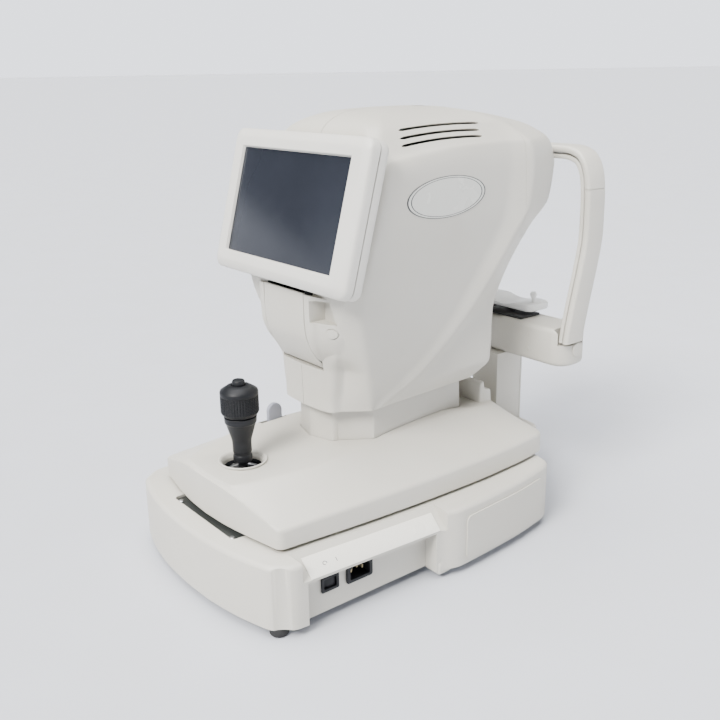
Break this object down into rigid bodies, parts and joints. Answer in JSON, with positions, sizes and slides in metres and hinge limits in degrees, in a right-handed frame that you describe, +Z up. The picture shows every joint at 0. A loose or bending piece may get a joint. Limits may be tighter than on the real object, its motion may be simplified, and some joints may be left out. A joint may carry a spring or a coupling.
{
  "type": "autorefractor",
  "caption": "Desktop autorefractor: base, joystick-driven sliding stage, lifting measuring head, tilting touch screen, built-in printer, and chinrest with a forehead bow.",
  "frame": {"origin": "centre of the object's box, at the level of the table it stands on", "axes": "+X to the operator's right, -Y towards the operator, +Y towards the patient, +Z up"},
  "size_m": [0.312, 0.497, 0.468],
  "materials": {
    "ivory_plastic": "fine moulded texture",
    "pale_plastic": "fine moulded texture",
    "black_plastic": "satin",
    "black_grip": "knurled",
    "dark_plastic": "satin",
    "rubber": "matt",
    "grey_plastic": "satin",
    "cream_strip": "satin",
    "white_plastic": "smooth",
    "screen": "dark, glossy",
    "lens_glass": "coated",
    "steel": "brushed",
    "aluminium": "machined",
    "brass": "turned",
    "circuit_board": "solder mask",
    "paper": "matt paper"
  },
  "bodies": {
    "base": {"base_cover": "ivory_plastic", "base_plate": "aluminium", "foot_front_right": "rubber", "foot_front_left": "rubber", "foot_rear_right": "rubber", "foot_rear_left": "rubber", "switch_trim_strip": "cream_strip", "power_inlet": "black_plastic", "inlet_pins": "brass", "switch_housing": "black_plastic", "power_supply": "steel", "friction_plate": "dark_plastic", "slide_rails": "steel", "chinrest_column": "ivory_plastic", "column_rear_cover": "ivory_plastic", "chinrest_arm": "ivory_plastic", "arm_rear_cover": "ivory_plastic", "bow_outer": "ivory_plastic", "bow_inner_trim": "ivory_plastic", "forehead_rest": "white_plastic", "arm_cap_right": "ivory_plastic", "arm_cap_left": "ivory_plastic", "bellows_plate": "rubber"},
    "rocker": {"power_rocker": "black_plastic"},
    "carriage": {"carriage_frame": "aluminium"},
    "axle": {"roller_axle": "steel"},
    "stage": {"stage_cover": "ivory_plastic", "neck_skirt": "ivory_plastic", "stage_chassis": "aluminium", "joystick_socket": "black_plastic"},
    "lock": {"lock_lever": "grey_plastic"},
    "screw": {"lift_screw": "steel"},
    "gimbal": {"joystick_gimbal": "steel"},
    "stick": {"joystick_shaft": "black_plastic"},
    "grip": {"elevation_ring": "black_grip"},
    "measure_key": {"measure_button": "black_plastic"},
    "head": {"head_cover_right": "ivory_plastic", "head_cover_left": "ivory_plastic", "head_nose_cover": "ivory_plastic", "head_chassis": "aluminium", "lift_nut": "brass", "optical_bench": "aluminium", "measuring_unit": "black_plastic", "objective_barrel": "black_plastic", "objective_lens": "lens_glass", "measuring_window": "black_plastic", "main_board": "circuit_board", "monitor_hinge": "steel", "printer_bay": "black_plastic", "print_head": "dark_plastic"},
    "monitor": {"monitor_bezel": "pale_plastic", "touch_panel": "screen", "monitor_back": "pale_plastic"},
    "door": {"printer_door": "ivory_plastic", "platen_roller": "rubber"},
    "roll": {"paper_roll": "paper"},
    "door_key": {"door_button": "ivory_plastic"},
    "chin": {"chin_rest": "white_plastic", "chin_shaft": "dark_plastic"}
  },
  "joints": [
    {"name": "power_switch", "type": "hinge", "parent": "base", "child": "rocker", "pos_m": [0.1305, -0.165, 0.04], "axis": [0, 0, 1], "range_deg": [0, 14]},
    {"name": "depth_slide", "type": "slide", "parent": "base", "child": "carriage", "axis": [0, 1, 0], "range_m": [-0.036, 0.004]},
    {"name": "roller_spin", "type": "hinge", "parent": "carriage", "child": "axle", "pos_m": [0, 0.0215, 0.0883], "axis": [1, 0, 0], "range_deg": [-30, 235]},
    {"name": "side_slide", "type": "slide", "parent": "carriage", "child": "stage", "axis": [1, 0, 0], "range_m": [-0.043, 0.043]},
    {"name": "stage_lock", "type": "hinge", "parent": "stage", "child": "lock", "pos_m": [-0.067, -0.0915, 0.118], "axis": [1, 0, 0], "range_deg": [0, 25]},
    {"name": "stick_pitch", "type": "hinge", "parent": "stage", "child": "gimbal", "pos_m": [0, -0.1745, 0.112], "axis": [1, 0, 0], "range_deg": [-12, 12]},
    {"name": "stick_roll", "type": "hinge", "parent": "gimbal", "child": "stick", "pos_m": [0, -0.1745, 0.112], "axis": [0, 1, 0], "range_deg": [-12, 12]},
    {"name": "head_lift", "type": "slide", "parent": "stage", "child": "head", "axis": [0, 0, 1], "range_m": [-0.02, 0.01]},
    {"name": "elevation_turn", "type": "hinge", "parent": "stick", "child": "grip", "pos_m": [0, -0.1745, 0.19], "axis": [0, 0, 1], "range_deg": [-362, 722]},
    {"name": "screw_turn", "type": "hinge", "parent": "stage", "child": "screw", "pos_m": [0, 0.0515, 0.17], "axis": [0, 0, 1], "range_deg": [-362, 722]},
    {"name": "measure_press", "type": "slide", "parent": "stick", "child": "measure_key", "axis": [0, 0, -1], "range_m": [0, 0.0015], "stiffness_N_per_m": 400, "springref_m": -0.001},
    {"name": "screen_tilt", "type": "hinge", "parent": "head", "child": "monitor", "pos_m": [0, -0.06618, 0.43375], "axis": [-1, 0, 0], "range_deg": [0, 15]},
    {"name": "door_swing", "type": "hinge", "parent": "head", "child": "door", "pos_m": [0, -0.0895, 0.219], "axis": [1, 0, 0], "range_deg": [0, 50]},
    {"name": "roll_spin", "type": "hinge", "parent": "head", "child": "roll", "pos_m": [0, -0.0745, 0.252], "axis": [1, 0, 0], "continuous": true},
    {"name": "door_release", "type": "slide", "parent": "head", "child": "door_key", "axis": [0, 1, 0], "range_m": [0, 0.002], "stiffness_N_per_m": 400, "springref_m": -0.001},
    {"name": "chin_lift", "type": "slide", "parent": "base", "child": "chin", "axis": [0, 0, 1], "range_m": [0, 0.055]}
  ],
  "couplings": [
    {"joint": "roller_spin", "follows": "depth_slide", "rad_per_m": -111.11},
    {"joint": "elevation_turn", "follows": "head_lift", "rad_per_m": -628.32},
    {"joint": "screw_turn", "follows": "head_lift", "rad_per_m": -628.32}
  ]
}
